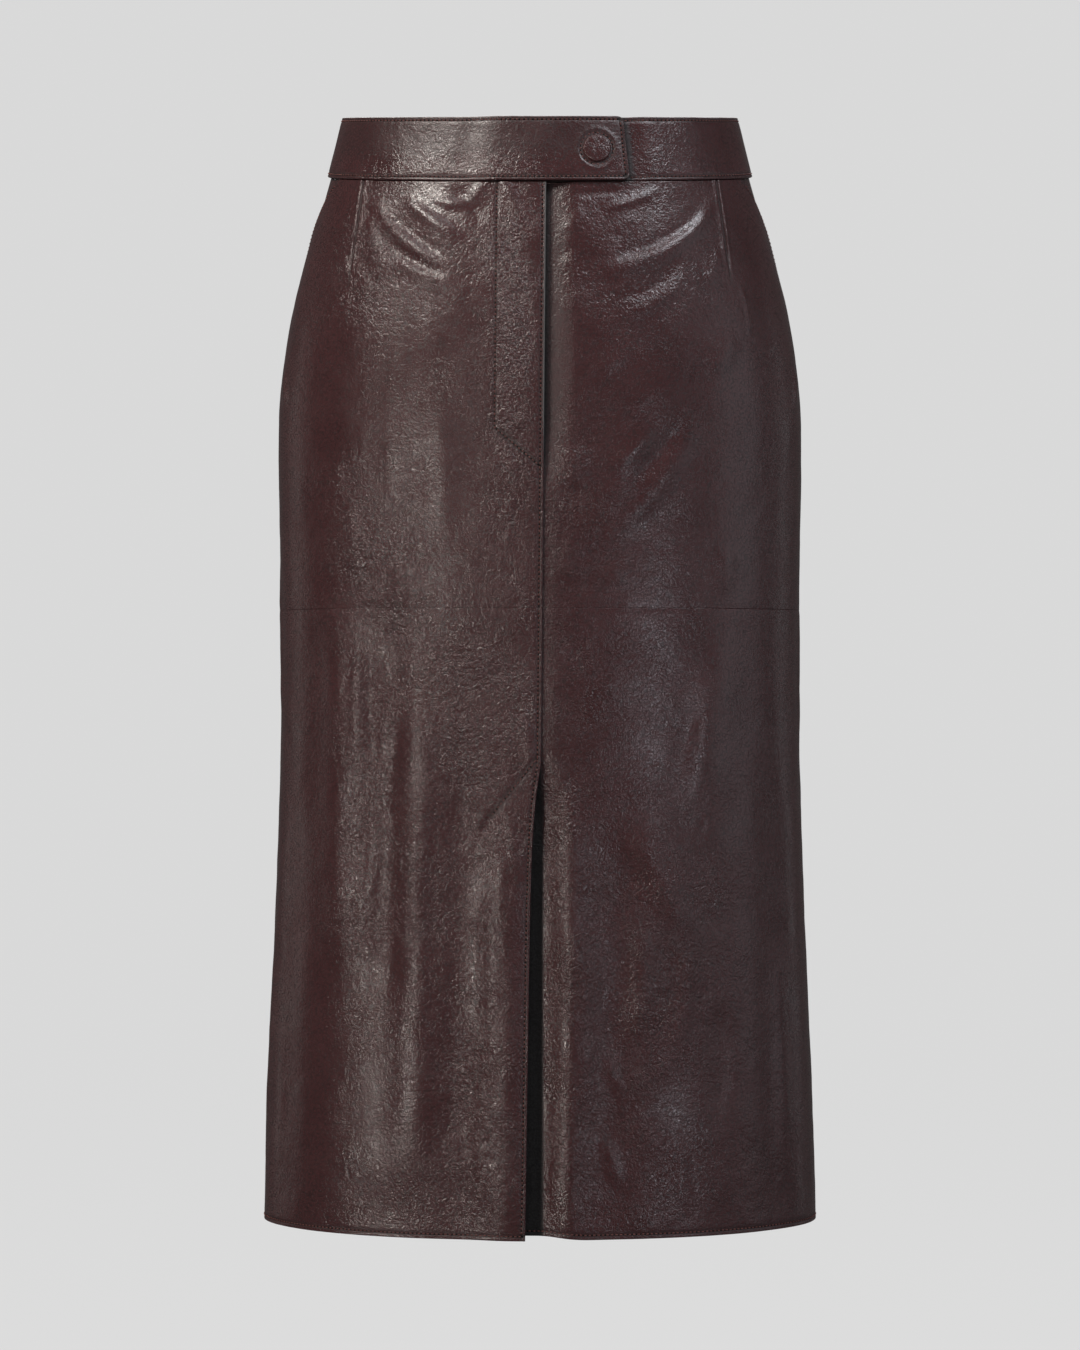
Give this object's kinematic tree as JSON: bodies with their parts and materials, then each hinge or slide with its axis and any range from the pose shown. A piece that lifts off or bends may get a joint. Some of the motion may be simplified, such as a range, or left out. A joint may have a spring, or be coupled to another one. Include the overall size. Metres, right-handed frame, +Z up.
{
  "type": "leather pencil skirt",
  "caption": "Hollow below-the-knee pencil skirt in glossy leather, with a tabbed waistband, fly front, slanted hip pockets, darts and a front vent, as it hangs when worn.",
  "frame": {"origin": "middle of the waist opening, halfway down the waistband at the side seams", "axes": "+Z up along the wearer, -Y towards the front, +X towards the wearer's left"},
  "size_m": [0.3828, 0.2445, 0.7682],
  "materials": {
    "leather": "glossy wrinkled nappa",
    "facing_leather": "semi-gloss nappa",
    "snap_leather": "glossy nappa",
    "zip_tape": "woven tape"
  },
  "bodies": {
    "root": {"waistband_right": "leather", "waistband_left": "leather", "waistband_back": "leather", "front_right_upper": "leather", "front_left_upper": "leather", "front_right_lower": "leather", "front_left_lower": "leather", "back_upper": "leather", "back_lower": "leather", "pocket_facing_right": "facing_leather", "pocket_facing_left": "facing_leather", "snap_cover": "snap_leather", "fly_zip": "zip_tape"}
  },
  "joints": []
}
